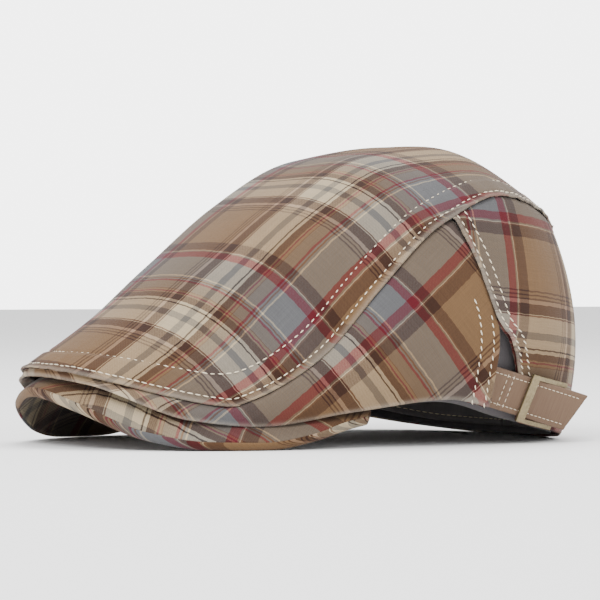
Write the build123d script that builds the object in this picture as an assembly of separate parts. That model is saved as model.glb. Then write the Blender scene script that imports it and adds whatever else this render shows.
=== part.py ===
from build123d import *
import os
from math import cos, pi, radians, sin, sqrt

# Plaid duckbill cap lying on a flat surface. Front is -Y, the wearer's left is +X, up is +Z.
# All sizes are in millimetres.

# Overall sizes. The outlines further down are drawn for 186 x 260 x 137 and graded to these.
cap_width = 186.0
cap_length = 260.0
cap_height = 137.0
drawn_width, drawn_length, drawn_height = 186.0, 260.0, 137.0

# Cloth layers, from the outside in.
shell_thickness = 1.2
interlining_thickness = 0.5
lining_thickness = 0.6
facing_thickness = 0.5
layer_gap = 0.25
seam_gap = 0.2
skin_tolerance = 0.03
skin_fits = [1, 1.5, 0.7, 2, 3]
skin_bulge = 0.2

# Sweatband.
sweatband_height = 27.0
sweatband_thickness = 1.4
label_width = 34.0
label_height = 14.0
label_thickness = 0.4

# Visor.
visor_cover_thickness = 0.9
visor_board_thickness = 2.0
visor_rim_fold = 1.6

# Adjuster strap and its buckle.
strap_width = 18.0
strap_thickness = 1.6
strap_hidden_length = 4.0
strap_tail_length = 8.5
strap_tail_slant = 6.0
strap_corner_radius = 2.0
strap_lean = 16.0
sliding_gap = 0.35
buckle_length = 24.0
buckle_bar_width = 4.4
buckle_metal = 1.5
buckle_arm_width = 1.9
buckle_side_gap = 0.45
hinge_pin_diameter = 1.8
hinge_running_gap = 0.06
loop_thickness = 0.9
loop_width = 13.0
loop_tab_length = 7.0
loop_seat_start = 0.745
loop_seat_end = 0.77
loop_seat_height = 0.08
loop_seat_gap = 0.8


def place(x, y, z):
    return Vector(x * cap_width / drawn_width, y * cap_length / drawn_length, z * cap_height / drawn_height)


def ease(at, stations, values, level_ends=False):
    # Smooth curve through the stations that never overshoots them.
    last = len(stations) - 1
    at = min(max(at, stations[0]), stations[last])
    run = [stations[i + 1] - stations[i] for i in range(last)]
    slope = [(values[i + 1] - values[i]) / run[i] for i in range(last)]
    tangent = [slope[0]] + [0.0] * (last - 1) + [slope[last - 1]]
    if level_ends:
        tangent[0] = 0.0
        tangent[last] = 0.0
    for i in range(1, last):
        if slope[i - 1] * slope[i] > 0:
            before = 2 * run[i] + run[i - 1]
            after = run[i] + 2 * run[i - 1]
            tangent[i] = (before + after) / (before / slope[i - 1] + after / slope[i])
    i = 0
    while i < last - 1 and at > stations[i + 1]:
        i += 1
    part = (at - stations[i]) / run[i]
    rest = 1 - part
    return ((1 + 2 * part) * rest**2 * values[i] + part * rest**2 * run[i] * tangent[i]
            + part**2 * (3 - 2 * part) * values[i + 1] - part**2 * rest * run[i] * tangent[i + 1])


# Crown top panel: seam line and centre crest, from the front (0) to the back (1).
crown_stations = [0, 0.12, 0.26, 0.40, 0.55, 0.70, 0.85, 1.0]
seam_x = [71, 77.5, 83, 87, 88, 84, 71, 46]
seam_y = [-92, -70, -46, -20, 12, 46, 76, 103]
seam_z = [16, 25, 41, 70, 99, 112, 106, 92]
crest_y = [-147, -116, -80, -42, 2, 46, 84, 113]
crest_z = [35, 53, 80, 108, 131, 137, 121, 88]
crest_flatness = [2.2, 3.2, 4.2, 4.0, 3.2, 2.5, 2.1, 2.0]
front_corner_rounding = 0.045
back_corner_rounding = 0.06


def crown_point(across, along):
    # across runs from -1 (right seam) to 1 (left seam), along from 0 (front) to 1 (back).
    share = sin(pi / 2 * across)
    start = front_corner_rounding * (1 - sqrt(1 - abs(share) ** 8))
    end = 1 - back_corner_rounding * (1 - sqrt(1 - abs(share) ** 4))
    at = start + (end - start) * along
    power = ease(at, crown_stations, crest_flatness)
    middle_y = ease(at, crown_stations, crest_y)
    middle_z = ease(at, crown_stations, crest_z)
    y = middle_y + (ease(at, crown_stations, seam_y) - middle_y) * share**2
    z = middle_z - (middle_z - ease(at, crown_stations, seam_z)) * abs(share) ** power
    return place(ease(at, crown_stations, seam_x) * share, y, z)


# The crown's outline on the left side, from the front centre round to the back centre.
front_end, back_start = 0.16, 0.86
outline_steps = 60


def walk_outline():
    points = []
    corner_lengths = [0.0]
    length = 0.0
    stretches = [lambda step: (step, 0), lambda step: (1, step), lambda step: (1 - step, 1)]
    for stretch in stretches:
        for i in range(outline_steps + 1):
            point = crown_point(*stretch(i / outline_steps))
            length += (point - points[-1][1]).length if points else 0
            points.append((length, point))
        corner_lengths.append(length)
    return points, corner_lengths


outline, corner_lengths = walk_outline()


def rim_point(around):
    # around runs from 0 (front centre) by the left side to 1 (back centre).
    length = ease(around, [0, front_end, back_start, 1], corner_lengths)
    low, high = 0, len(outline) - 1
    while high - low > 1:
        middle = (low + high) // 2
        if outline[middle][0] <= length:
            low = middle
        else:
            high = middle
    span = outline[high][0] - outline[low][0]
    share = (length - outline[low][0]) / span if span > 1e-9 else 0
    return outline[low][1] + (outline[high][1] - outline[low][1]) * share


# Lower edge of the side panels, and how far the panels swell out between hem and rim.
hem_stations = [0, 0.08, 0.16, 0.25, 0.36, 0.50, 0.64, 0.78, 0.88, 1.0]
hem_x = [0, 36, 66, 77, 86, 93, 90, 72, 44, 0]
hem_y = [-146.5, -137, -104, -74, -32, 12, 50, 85, 104, 112]
hem_z = [31.5, 28, 13, 10, 16, 21, 12.5, 5, 1.5, 0]
side_swell = [0, 0, 1, 3, 6, 8, 10, 10, 9, 9]


def hem_point(around):
    return place(ease(around, hem_stations, hem_x),
                 ease(around, hem_stations, hem_y, True),
                 ease(around, hem_stations, hem_z, True))


def outward(curve, at, step=0.01):
    # Level direction that points out of a curve drawn from the front to the back by the left side.
    if at < step:
        return Vector(0, -1, 0)
    if at > 1 - step:
        return Vector(0, 1, 0)
    run = curve(at + step) - curve(at - step)
    return Vector(run.Y, -run.X, 0).normalized()


def side_point(around, up):
    # around may pass 1 to the right side; up runs from 0 (hem) to 1 (crown outline).
    if around > 1:
        twin = side_point(2 - around, up)
        return Vector(-twin.X, twin.Y, twin.Z)
    hem = hem_point(around)
    swell = ease(around, hem_stations, side_swell, True) * cap_width / drawn_width
    gap = seam_gap / (rim_point(around) - hem).length
    rise = up * (1 - gap)
    bulge = swell * 4 * rise * (1 - rise)
    return hem + (rim_point(around) - hem) * rise + outward(hem_point, around) * bulge


def cloth_out(point):
    # One direction for each place on the crown, shared by every layer and by neighbouring panels.
    return Vector(point.X / cap_width**2, (point.Y + 20) / (cap_length * 1.46) ** 2,
                  point.Z / (cap_height * 1.6) ** 2).normalized()


def sink(point, depth):
    return point - cloth_out(point) * depth


def skin(point, columns, rows):
    # Smooth face through a grid of points. A fit that bulges past its points is made again, a little looser.
    grid = [[point(i / (columns - 1), j / (rows - 1)) for j in range(rows)] for i in range(columns)]
    span = Polyline(*[corner for row in grid for corner in row]).bounding_box().size
    fits = []
    for looser in skin_fits:
        face = Face.make_surface_from_array_of_points(grid, tol=skin_tolerance * looser, min_deg=3, max_deg=3)
        bulge = (face.bounding_box().size - span).length
        fits.append((bulge, face))
        if bulge < skin_bulge:
            break
    return min(fits, key=lambda fit: fit[0])[1]


def layer(outer_point, inner_point, columns, rows):
    # Closed solid between two surfaces drawn with the same shares.
    outer = skin(outer_point, columns, rows)
    inner = skin(inner_point, columns, rows)
    walls = [Face.make_surface_from_curves(a, b) for a, b in zip(outer.edges(), inner.edges())]
    return Solid(Shell([outer, inner] + walls))


def crown_layer(surface, near, thickness, columns=25, rows=13):
    return layer(lambda u, v: sink(surface(u, v), near),
                 lambda u, v: sink(surface(u, v), near + thickness), columns, rows)


def mirrored(surface):
    def twin(u, v):
        point = surface(u, v)
        return Vector(-point.X, point.Y, point.Z)
    return twin


interlining_depth = shell_thickness + layer_gap
facing_depth = shell_thickness + 2 * layer_gap
lining_depth = interlining_depth + interlining_thickness + 2 * layer_gap

# Seams between the side panels and the back panel, as shares round the outline, hem to rim.
# The left pair part below the notch point; the right side has one seam.
seam_rise = [0, 0.15, 0.35, 0.46, 0.8, 1.0]
left_panel_end = [0.580, 0.589, 0.603, 0.606, 0.590, 0.579]
back_panel_start = [0.668, 0.664, 0.640, 0.613, 0.593, 0.581]
right_panel_end = [0.620, 0.618, 0.614, 0.606, 0.590, 0.579]
seam_share = seam_gap / (cap_length * 1.5)


def left_panel_surface(u, v):
    return side_point(u * (ease(v, seam_rise, left_panel_end) - seam_share), v)


def right_panel_surface(u, v):
    return side_point(u * (ease(v, seam_rise, right_panel_end) - seam_share), v)


# The back panel's lower corner beside the notch is pressed in by the strap that runs over it.
tuck_depth = 5.5
tuck_around, tuck_around_share = [0.0, 0.665, 0.80, 2.0], [1.0, 1.0, 0.0, 0.0]
tuck_up, tuck_up_share = [0.0, 0.16, 0.44, 1.0], [1.0, 1.0, 0.0, 0.0]


def back_wall(around, up):
    share = ease(around, tuck_around, tuck_around_share, True) * ease(up, tuck_up, tuck_up_share, True)
    return sink(side_point(around, up), tuck_depth * share)


def back_panel_surface(u, v):
    start = ease(v, seam_rise, back_panel_start)
    end = 2 - ease(v, seam_rise, right_panel_end)
    return back_wall(start + (end - start) * u, v)


# Facings folded inside both edges of the notch.
notch_top = 0.46
facing_share = 0.034


def notch_facing_front_surface(u, v):
    up = v * notch_top
    end = ease(up, seam_rise, left_panel_end) - seam_share
    return side_point(end - facing_share * (1 - u), up)


def notch_facing_rear_surface(u, v):
    up = v * notch_top
    start = ease(up, seam_rise, back_panel_start) + seam_share
    return back_wall(start + facing_share * u, up)


# Lining. Low down at the back it stands away from the shell and leaves room for the strap.
lining_front = 0.42
lining_seam = 0.72
strap_room_stations = [0.34, 0.44, 0.52, 0.62, 0.72, 0.84, 1.0]
strap_room = [0.0, 1.5, 6.0, 7.0, 6.5, 3.0, 2.2]
room_rise = [0, 0.22, 0.45, 0.75, 1.0]
room_fade = [1.0, 1.0, 0.6, 0.1, 0.0]


def lining_side_point(around, up):
    near = around if around < 1 else 2 - around
    room = ease(near, strap_room_stations, strap_room, True) * ease(up, room_rise, room_fade, True)
    return sink(side_point(around, up), lining_depth + room)


def lining_left_surface(u, v):
    return lining_side_point(lining_front + (lining_seam - seam_share - lining_front) * u, v)


def lining_back_surface(u, v):
    return lining_side_point(lining_seam + (2 - 2 * lining_seam) * u, v)


def lining_top_surface(u, v):
    return sink(crown_point(2 * u - 1, 0.3 + 0.7 * v), lining_depth)


# Sweatband: lower edge on the left side, from the forehead to the back of the head.
band_stations = [0, 0.13, 0.26, 0.39, 0.51, 0.63, 0.75, 0.87, 1.0]
band_x = [0, 38, 64, 80, 85, 80, 67, 38, 0]
band_y = [-87, -79, -58, -24, 14, 50, 76, 96, 104]
band_z = [43, 38, 29, 23, 24, 18, 10, 5, 4]
band_lean = [-0.20, -0.16, -0.05, 0.05, 0.06, 0.03, 0.02, 0.05, 0.08]
band_joint_gap = 1.0


def band_edge(around):
    return place(ease(around, band_stations, band_x),
                 ease(around, band_stations, band_y, True),
                 ease(around, band_stations, band_z, True))


def band_point(turn, up, depth):
    # turn runs from -1 (back, right side) over 0 (front) to 1 (back, left side).
    around = abs(turn) * (1 - band_joint_gap / (cap_length * 2.2))
    out = outward(band_edge, around)
    lean = ease(around, band_stations, band_lean, True)
    point = band_edge(around) + (Vector(0, 0, 1) + out * lean) * (up * sweatband_height) - out * depth
    return point if turn > 0 else Vector(-point.X, point.Y, point.Z)


def sweatband():
    return layer(lambda u, v: band_point(2 * u - 1, v, 0),
                 lambda u, v: band_point(2 * u - 1, v, sweatband_thickness), 57, 7)


def size_label():
    # Blank woven label stitched to the inside of the sweatband at the back.
    reach = label_width / (cap_length * 2.2)
    share = label_height / sweatband_height
    depth = sweatband_thickness + layer_gap
    start = 0.93 - reach

    def at(u, v, extra):
        return band_point(start + reach * u, 0.5 + share * (v - 0.5), depth + extra)
    return layer(lambda u, v: at(u, v, 0), lambda u, v: at(u, v, label_thickness), 9, 5)


# Visor: outer edge and inner edge on the left side, from the front centre to the horn.
visor_stations = [0, 0.15, 0.30, 0.45, 0.60, 0.75, 0.88, 1.0]
visor_outer_x = [0, 32, 58, 74, 83, 86, 84.5, 80]
visor_outer_y = [-147, -140, -120, -99, -75, -52, -36, -20]
visor_outer_z = [26.5, 20, 8, 3.94, 3.44, 7, 11.5, 14.5]
visor_inner_x = [0, 22, 44, 59, 69.5, 75.5, 77, 75.5]
visor_inner_y = [-90, -87, -78, -66, -52, -40, -29, -18]
visor_inner_z = [39, 36, 29, 23, 19, 17, 16.5, 16.5]
visor_roll = [5, 6, 4.5, 1.2, 0.6, 0.6, 0.6, 0.6]
visor_thickness = 2 * visor_cover_thickness + visor_board_thickness + 2 * layer_gap


def visor_edge(side, x, y, z):
    at = abs(side)
    return place(ease(at, visor_stations, x) * (1 if side > 0 else -1),
                 ease(at, visor_stations, y, True), ease(at, visor_stations, z, True))


def visor_surface(side, out):
    # side runs from -1 (right horn) to 1 (left horn), out from 0 (head) to 1 (front edge).
    inner = visor_edge(side, visor_inner_x, visor_inner_y, visor_inner_z)
    outer = visor_edge(side, visor_outer_x, visor_outer_y, visor_outer_z)
    roll = ease(abs(side), visor_stations, visor_roll, True) * (1 - (1 - out) ** 3) * (1 - out**5)
    return inner + (outer - inner) * out + visor_up(side) * roll


def visor_up(side):
    inner = visor_edge(side, visor_inner_x, visor_inner_y, visor_inner_z)
    outer = visor_edge(side, visor_outer_x, visor_outer_y, visor_outer_z)
    step = 0.02
    low = max(side - step, -1)
    high = min(side + step, 1)
    along = (visor_edge(high, visor_outer_x, visor_outer_y, visor_outer_z)
             - visor_edge(low, visor_outer_x, visor_outer_y, visor_outer_z))
    return (outer - inner).cross(along).normalized()


def visor_slab(near, far, start=0, rim=0.0):
    # From the head edge to a rim's width short of the front edge, or only that rim where start is None.
    def at(u, v, depth):
        side = 2 * u - 1
        width = (visor_surface(side, 1) - visor_surface(side, 0)).length
        out = v * (1 - rim / width) if start == 0 else 1 - (1 - v) * rim / width
        return visor_surface(side, out) - visor_up(side) * depth
    return layer(lambda u, v: at(u, v, near), lambda u, v: at(u, v, far), 41, 9)


def visor_pieces():
    # The covers lie on both faces of the board; their turned seam fills the rim in front of it.
    top = visor_cover_thickness
    bottom = visor_thickness - visor_cover_thickness
    upper = visor_slab(0, top)
    under = visor_slab(bottom, visor_thickness)
    board = visor_slab(top + layer_gap, bottom - layer_gap, 0, visor_rim_fold + layer_gap)
    rim = visor_slab(top + layer_gap, bottom - layer_gap, None, visor_rim_fold)
    return board, upper, under, rim


# Adjuster: the strap runs straight from under the left side panel, through the buckle, past the back.
strap_start = place(87.5, 35, 27.5)
strap_end = place(83.3, 85.2, 14.0)


def strap_plane():
    along = (strap_end - strap_start).normalized()
    level = Vector(along.Y, -along.X, 0).normalized()
    up = level.cross(along) * -1
    if up.Z < 0:
        up = up * -1
    lean = radians(strap_lean)
    out = (level * cos(lean) - up * sin(lean)).normalized()
    hinge = strap_end - along * strap_tail_length
    return Plane(origin=hinge, x_dir=along, z_dir=out)


# In the strap plane: x along the strap to its tail, y across it, z outwards, origin at the buckle hinge.
adjuster_plane = strap_plane()
loop_radius = hinge_pin_diameter / 2 + hinge_running_gap + loop_thickness
strap_underside = loop_radius + sliding_gap
strap_top = strap_underside + strap_thickness
front_bar_x = -(buckle_length - hinge_pin_diameter / 2 - buckle_bar_width / 2)
front_bar_z = strap_top + sliding_gap + buckle_metal / 2
buckle_inside = strap_width + 2 * buckle_side_gap


def adjuster_strap():
    start = -((strap_end - strap_start).length - strap_tail_length) - strap_hidden_length
    half = strap_width / 2
    side = 1 if adjuster_plane.y_dir.Z > 0 else -1
    outline = Polyline((start, -half), (start, half), (strap_tail_length + side * strap_tail_slant / 2, half),
                       (strap_tail_length - side * strap_tail_slant / 2, -half), close=True)
    blank = extrude(make_face(outline), strap_thickness)
    corners = blank.edges().filter_by(Axis.Z).sort_by(Axis.X)[:2]
    return Pos(0, 0, strap_underside) * fillet(corners, strap_corner_radius)


def buckle_frame():
    # Flat ring, bent down from the front bar over the strap to the round hinge bar under it.
    front = (front_bar_x - buckle_bar_width / 2, front_bar_z)
    knee = (front_bar_x + buckle_bar_width / 2, front_bar_z)
    half = buckle_metal / 2
    bar = Pos(front_bar_x, 0, front_bar_z) * Box(buckle_bar_width, buckle_inside + 2 * buckle_arm_width,
                                                 buckle_metal)
    bar = fillet(bar.edges().filter_by(Axis.Y), buckle_metal * 0.3)
    pin = Rot(90, 0, 0) * Cylinder(hinge_pin_diameter / 2, buckle_inside + 2 * buckle_arm_width)
    profile = Polyline((front[0], front[1] - half), (front[0], front[1] + half), (knee[0], knee[1] + half),
                       (half, half), (half, -half), (-half, -half), (knee[0], knee[1] - half), close=True)
    blank = make_face(Plane.XZ * profile)
    arm = extrude(blank, buckle_arm_width / 2, both=True)
    reach = buckle_inside / 2 + buckle_arm_width / 2
    return bar + pin + Pos(0, reach, 0) * arm + Pos(0, -reach, 0) * arm


def buckle_loop():
    # Folded tape round the hinge bar, with a flat tab sewn down on the back panel behind it.
    near = adjuster_plane.to_local_coords(back_wall(loop_seat_start, loop_seat_height))
    far = adjuster_plane.to_local_coords(back_wall(loop_seat_end, loop_seat_height))
    seat = Vector(far.X - near.X, 0, far.Z - near.Z).normalized()
    down = Vector(seat.Z, 0, -seat.X)
    depth = down.X * near.X + down.Z * near.Z - loop_seat_gap
    ring = Rot(90, 0, 0) * Cylinder(loop_radius, loop_width)
    bore = Rot(90, 0, 0) * Cylinder(hinge_pin_diameter / 2 + hinge_running_gap, loop_width + 2)
    top = loop_radius - loop_thickness
    tab = Box(loop_tab_length, loop_width, max(depth - top, loop_thickness), align=(Align.MIN, Align.CENTER, Align.MAX))
    tilted = Plane(origin=(0, 0, 0), x_dir=seat, z_dir=down * -1)
    return ring + tilted.location * (Pos(0, 0, -top) * tab) - bore


adjuster = {
    "adjuster_strap": adjuster_strap(),
    "buckle_frame": buckle_frame(),
    "buckle_loop": buckle_loop(),
}
visor_board, visor_upper_cover, visor_under_cover, visor_rim_seam = visor_pieces()

solids = {
    "crown_top_panel": crown_layer(lambda u, v: crown_point(2 * u - 1, v), 0, shell_thickness, 49, 25),
    "crown_interlining": crown_layer(lambda u, v: crown_point(1.8 * u - 0.9, 0.06 + 0.72 * v),
                                     interlining_depth, interlining_thickness, 41, 25),
    "side_panel_left": crown_layer(left_panel_surface, 0, shell_thickness, 57, 13),
    "side_panel_right": crown_layer(mirrored(right_panel_surface), 0, shell_thickness, 57, 13),
    "back_panel": crown_layer(back_panel_surface, 0, shell_thickness, 57, 25),
    "notch_facing_front": crown_layer(notch_facing_front_surface, facing_depth, facing_thickness, 9, 17),
    "notch_facing_rear": crown_layer(notch_facing_rear_surface, facing_depth, facing_thickness, 9, 17),
    "lining_top": crown_layer(lining_top_surface, 0, lining_thickness, 41, 25),
    "lining_side_left": crown_layer(lining_left_surface, 0, lining_thickness, 25, 17),
    "lining_side_right": crown_layer(mirrored(lining_left_surface), 0, lining_thickness, 25, 17),
    "lining_back": crown_layer(lining_back_surface, 0, lining_thickness, 49, 17),
    "sweatband": sweatband(),
    "size_label": size_label(),
    "visor_board": visor_board,
    "visor_upper_cover": visor_upper_cover,
    "visor_under_cover": visor_under_cover,
    "visor_rim_seam": visor_rim_seam,
}
for name, solid in adjuster.items():
    solids[name] = adjuster_plane.location * solid

# The origin is on the surface the cap lies on, under the middle of its box.
box = Compound(list(solids.values())).bounding_box()
to_origin = Pos(-box.center().X, -box.center().Y, -box.min.Z)

if __name__ == "__main__":
    os.makedirs("parts", exist_ok=True)
    for name, solid in solids.items():
        export_step(to_origin * solid, f"parts/{name}.step")
    hinge = to_origin * Pos(adjuster_plane.origin)
    print("buckle hinge at", hinge.position, "axis", adjuster_plane.y_dir)
    print("strap slides along", adjuster_plane.x_dir)
    print("moved to the origin by", to_origin.position, "box", box.size)
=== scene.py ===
from math import cos, pi, radians, sin

import bpy
import numpy as np
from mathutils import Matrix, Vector, kdtree, noise


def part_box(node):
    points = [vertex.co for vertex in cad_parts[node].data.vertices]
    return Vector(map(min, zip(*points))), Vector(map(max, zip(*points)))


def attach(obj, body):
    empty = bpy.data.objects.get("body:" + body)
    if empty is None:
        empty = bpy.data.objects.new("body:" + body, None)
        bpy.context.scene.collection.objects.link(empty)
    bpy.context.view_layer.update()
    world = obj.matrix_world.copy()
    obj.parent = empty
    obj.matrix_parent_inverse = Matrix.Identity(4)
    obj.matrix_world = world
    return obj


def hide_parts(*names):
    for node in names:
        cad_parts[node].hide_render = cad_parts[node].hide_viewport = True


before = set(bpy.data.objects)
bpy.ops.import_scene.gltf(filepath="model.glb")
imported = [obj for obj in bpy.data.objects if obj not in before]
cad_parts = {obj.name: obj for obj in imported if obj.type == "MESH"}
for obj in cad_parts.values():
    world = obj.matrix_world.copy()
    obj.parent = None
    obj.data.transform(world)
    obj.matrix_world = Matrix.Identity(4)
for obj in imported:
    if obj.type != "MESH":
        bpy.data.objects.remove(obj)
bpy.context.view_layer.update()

# The cap is drawn in millimetres, front to -Y and the wearer's left to +X; home is where that drawing sits.
crownLow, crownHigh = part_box("crown_top_panel")
home = np.array([(crownLow.x + crownHigh.x) / 2, crownLow.y + 0.147, crownHigh.z - 0.137])

shell = {"thickness": 1.2, "lining": 0.6, "interlining": 0.5, "facing": 0.5, "gap": 0.25}


def toFrame(points):
    return np.asarray(points) / 1000 + home


def unit(vectors):
    return vectors / np.maximum(np.linalg.norm(vectors, axis=-1, keepdims=True), 1e-9)


def smooth(x, low, high):
    t = np.clip((x - low) / (high - low), 0, 1)
    return t * t * (3 - 2 * t)


def ease(at, stations, values, levelEnds=False):  # smooth curve through the stations, never past them
    s, v = np.asarray(stations, float), np.asarray(values, float)
    at = np.clip(np.asarray(at, float), s[0], s[-1])
    run = np.diff(s)
    slope = np.diff(v) / run
    tangent = np.zeros(len(s))
    if not levelEnds:
        tangent[0], tangent[-1] = slope[0], slope[-1]
    for i in range(1, len(s) - 1):
        if slope[i - 1] * slope[i] > 0:
            before, after = 2 * run[i] + run[i - 1], run[i] + 2 * run[i - 1]
            tangent[i] = (before + after) / (before / slope[i - 1] + after / slope[i])
    i = np.clip(np.searchsorted(s, at, side="left") - 1, 0, len(run) - 1)
    p = (at - s[i]) / run[i]
    q = 1 - p
    return ((1 + 2 * p) * q**2 * v[i] + p * q**2 * run[i] * tangent[i]
            + p**2 * (3 - 2 * p) * v[i + 1] - p**2 * q * run[i] * tangent[i + 1])


# shape of the crown, from the front (0) to the back (1)
crown = {
    "stations": [0, 0.12, 0.26, 0.40, 0.55, 0.70, 0.85, 1.0],
    "seamX": [71, 77.5, 83, 87, 88, 84, 71, 46],
    "seamY": [-92, -70, -46, -20, 12, 46, 76, 103],
    "seamZ": [16, 25, 41, 70, 99, 112, 106, 92],
    "crestY": [-147, -116, -80, -42, 2, 46, 84, 113],
    "crestZ": [35, 53, 80, 108, 131, 137, 121, 88],
    "flatness": [2.2, 3.2, 4.2, 4.0, 3.2, 2.5, 2.1, 2.0],
    "frontCorner": 0.045,
    "backCorner": 0.06,
}


def crownPoint(across, along):
    across, along = np.broadcast_arrays(np.asarray(across, float), np.asarray(along, float))
    share = np.sin(pi / 2 * across)
    start = crown["frontCorner"] * (1 - np.sqrt(np.maximum(1 - np.abs(share) ** 8, 0)))
    end = 1 - crown["backCorner"] * (1 - np.sqrt(np.maximum(1 - np.abs(share) ** 4, 0)))
    at = start + (end - start) * along
    s = crown["stations"]
    crestY, crestZ = ease(at, s, crown["crestY"]), ease(at, s, crown["crestZ"])
    y = crestY + (ease(at, s, crown["seamY"]) - crestY) * share**2
    z = crestZ - (crestZ - ease(at, s, crown["seamZ"])) * np.abs(share) ** ease(at, s, crown["flatness"])
    return np.stack([ease(at, s, crown["seamX"]) * share, y, z], -1)


def walkOutline(steps=240):
    s = np.linspace(0, 1, steps + 1)
    points = np.concatenate([crownPoint(s, 0), crownPoint(1, s), crownPoint(1 - s, 1)])
    lengths = np.concatenate([[0], np.cumsum(np.linalg.norm(np.diff(points, axis=0), axis=1))])
    return points, lengths, [0, lengths[steps], lengths[2 * steps + 1], lengths[-1]]


outline, outlineLengths, cornerLengths = walkOutline()


def rimPoint(around):  # the crown's outline on the left side, front centre (0) to back centre (1)
    length = ease(around, [0, 0.16, 0.86, 1], cornerLengths)
    return np.stack([np.interp(length, outlineLengths, outline[:, k]) for k in range(3)], -1)


sides = {
    "stations": [0, 0.08, 0.16, 0.25, 0.36, 0.50, 0.64, 0.78, 0.88, 1.0],
    "hemX": [0, 36, 66, 77, 86, 93, 90, 72, 44, 0],
    "hemY": [-146.5, -137, -104, -74, -32, 12, 50, 85, 104, 112],
    "hemZ": [31.5, 28, 13, 10, 16, 21, 12.5, 5, 1.5, 0],
    "swell": [0, 0, 1, 3, 6, 8, 10, 10, 9, 9],
    "rise": [0, 0.15, 0.35, 0.46, 0.8, 1.0],
    "leftEnd": [0.580, 0.589, 0.603, 0.606, 0.590, 0.579],
    "backStart": [0.668, 0.664, 0.638, 0.608, 0.591, 0.580],
    "rightEnd": [0.620, 0.618, 0.614, 0.606, 0.590, 0.579],
    "tuck": 5.5,
}


def hemPoint(around):
    s = sides["stations"]
    return np.stack([ease(around, s, sides["hemX"]), ease(around, s, sides["hemY"], True),
                     ease(around, s, sides["hemZ"], True)], -1)


def outward(curve, at, step=0.01):
    at = np.asarray(at, float)
    run = curve(np.minimum(at + step, 1)) - curve(np.maximum(at - step, 0))
    out = unit(np.stack([run[..., 1], -run[..., 0], np.zeros_like(at)], -1))
    out[at < step] = (0, -1, 0)
    out[at > 1 - step] = (0, 1, 0)
    return out


def sidePoint(around, up):  # around may pass 1 to the right side; up is 0 at the hem and 1 at the crown seam
    around, up = np.broadcast_arrays(np.asarray(around, float), np.asarray(up, float))
    near = np.where(around > 1, 2 - around, around)
    hem, rim = hemPoint(near), rimPoint(near)
    swell = ease(near, sides["stations"], sides["swell"], True)
    rise = up * (1 - 0.2 / np.linalg.norm(rim - hem, axis=-1))
    bulge = (swell * 4 * rise * (1 - rise))[..., None]
    point = hem + (rim - hem) * rise[..., None] + outward(hemPoint, near) * bulge
    point[..., 0] = np.where(around > 1, -point[..., 0], point[..., 0])
    return point


def backWall(around, up):  # pressed in beside the notch, where the strap runs over it
    around, up = np.broadcast_arrays(np.asarray(around, float), np.asarray(up, float))
    share = (ease(around, [0.0, 0.665, 0.80, 2.0], [1.0, 1.0, 0.0, 0.0], True)
             * ease(up, [0.0, 0.16, 0.44, 1.0], [1.0, 1.0, 0.0, 0.0], True))
    point = sidePoint(around, up)
    return point - clothOut(point) * (sides["tuck"] * share)[..., None]


def clothOut(points):  # one direction for each place on the crown, shared by all its layers
    across, along, height = 186, 379.6, 219.2  # half sizes of the ellipsoid the cap follows
    return unit(np.stack([points[..., 0] / across**2, (points[..., 1] + 20) / along**2,
                          points[..., 2] / height**2], -1))


def mirrored(surface):
    return lambda u, v: surface(u, v) * np.array([-1, 1, 1])


def arcs(points):  # running lengths across and along a grid of points
    across = np.cumsum(np.linalg.norm(np.diff(points, axis=0), axis=-1), axis=0)
    along = np.cumsum(np.linalg.norm(np.diff(points, axis=1), axis=-1), axis=1)
    return (np.concatenate([np.zeros((1, points.shape[1])), across]),
            np.concatenate([np.zeros((points.shape[0], 1)), along], axis=1))


def spread(curve, coarse, fine, margin, low=0.0, high=1.0):
    # stations on a curve, close together near both ends
    t = np.linspace(low, high, 1201)
    lengths = np.concatenate([[0], np.cumsum(np.linalg.norm(np.diff(curve(t), axis=0), axis=1))])
    total = lengths[-1]
    edge = np.arange(0, margin, fine)
    middle = np.linspace(margin, total - margin, max(int((total - 2 * margin) / coarse), 2))
    return np.interp(np.concatenate([edge, middle, total - edge[::-1]]), lengths, t)


# distance to an edge, and the thickness and puckers of a sewn edge
def edgeTree(points):
    tree = kdtree.KDTree(len(points))
    for i, p in enumerate(points):
        tree.insert(p, i)
    tree.balance()
    return tree, np.concatenate([[0], np.cumsum(np.linalg.norm(np.diff(points, axis=0), axis=1))])


def fromEdge(points, edge):
    tree, lengths = edge
    flat = points.reshape(-1, 3)
    found = [tree.find(p) for p in flat]
    distance = np.array([f[2] for f in found]).reshape(points.shape[:-1])
    place = lengths[np.array([f[1] for f in found])].reshape(points.shape[:-1])
    return distance, place


def ripple(place, size, seed):
    flat = np.ravel(place)
    steps = range(int(flat.max() * 2) + 3)
    table = np.array([noise.noise(Vector((t * 0.5 / size, seed, 0.3))) for t in steps])
    return np.interp(flat * 2, np.arange(len(table)), table).reshape(np.shape(place))


def unevenness(points, size, seed):
    flat = points.reshape(-1, 3) / size + seed
    return np.array([noise.noise(Vector(p)) for p in flat]).reshape(points.shape[:-1])


def sewnEdge(points, edge, look, seed):
    distance, place = fromEdge(points, edge)
    lift = look["allowance"] * (1 - smooth(distance, look["width"] - 1.5, look["width"] + 1.5))
    lift += look["lip"] * np.exp(-((distance / 1.6) ** 2))
    for row in look["rows"]:
        lift -= look["groove"] * np.exp(-(((distance - row) / 0.9) ** 2))
    lift += look["pucker"] * ripple(place, look["puckerSize"], seed) * np.exp(-distance / look["width"])
    return lift


print("shapes ready")

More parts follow.
